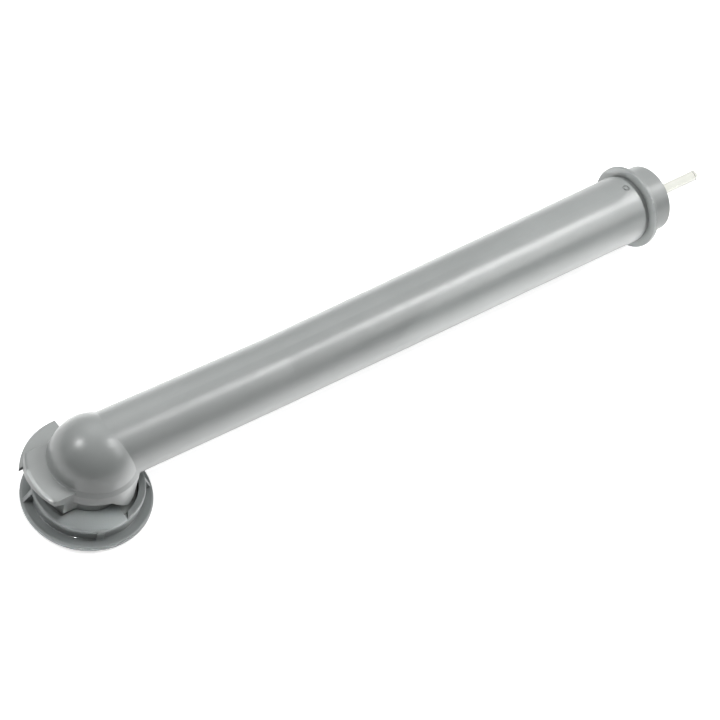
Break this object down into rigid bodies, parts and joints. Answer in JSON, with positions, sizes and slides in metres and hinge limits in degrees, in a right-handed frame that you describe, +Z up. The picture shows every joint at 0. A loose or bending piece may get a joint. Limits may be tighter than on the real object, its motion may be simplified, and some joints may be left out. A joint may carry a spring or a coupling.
{
  "type": "wash arm feed tube",
  "caption": "Grey feed tube for a dishwasher's upper wash arm: drafted tube, ball elbow with side lug, bayonet ring under the outlet, disc and spigot at the inlet, and a slim clear pin.",
  "frame": {"origin": "middle of the bounding box in plan, on the floor that the part lies on", "axes": "+X along the tube from the elbow to the inlet, +Z up, with the outlet facing down"},
  "size_m": [0.3514, 0.0522, 0.0429],
  "materials": {
    "tube_plastic": "satin moulded polypropylene",
    "ring_plastic": "satin moulded polypropylene",
    "clear_plastic": "clear and polished"
  },
  "bodies": {
    "tube": {"feed_tube": "tube_plastic", "docking_pin": "clear_plastic"},
    "ring": {"bayonet_ring": "ring_plastic"}
  },
  "joints": [
    {"name": "ring_turn", "type": "hinge", "parent": "tube", "child": "ring", "pos_m": [-0.15007, -0.0006, 0.00581], "axis": [0.0249, 0, 0.9997], "range_deg": [-70, 0]}
  ]
}
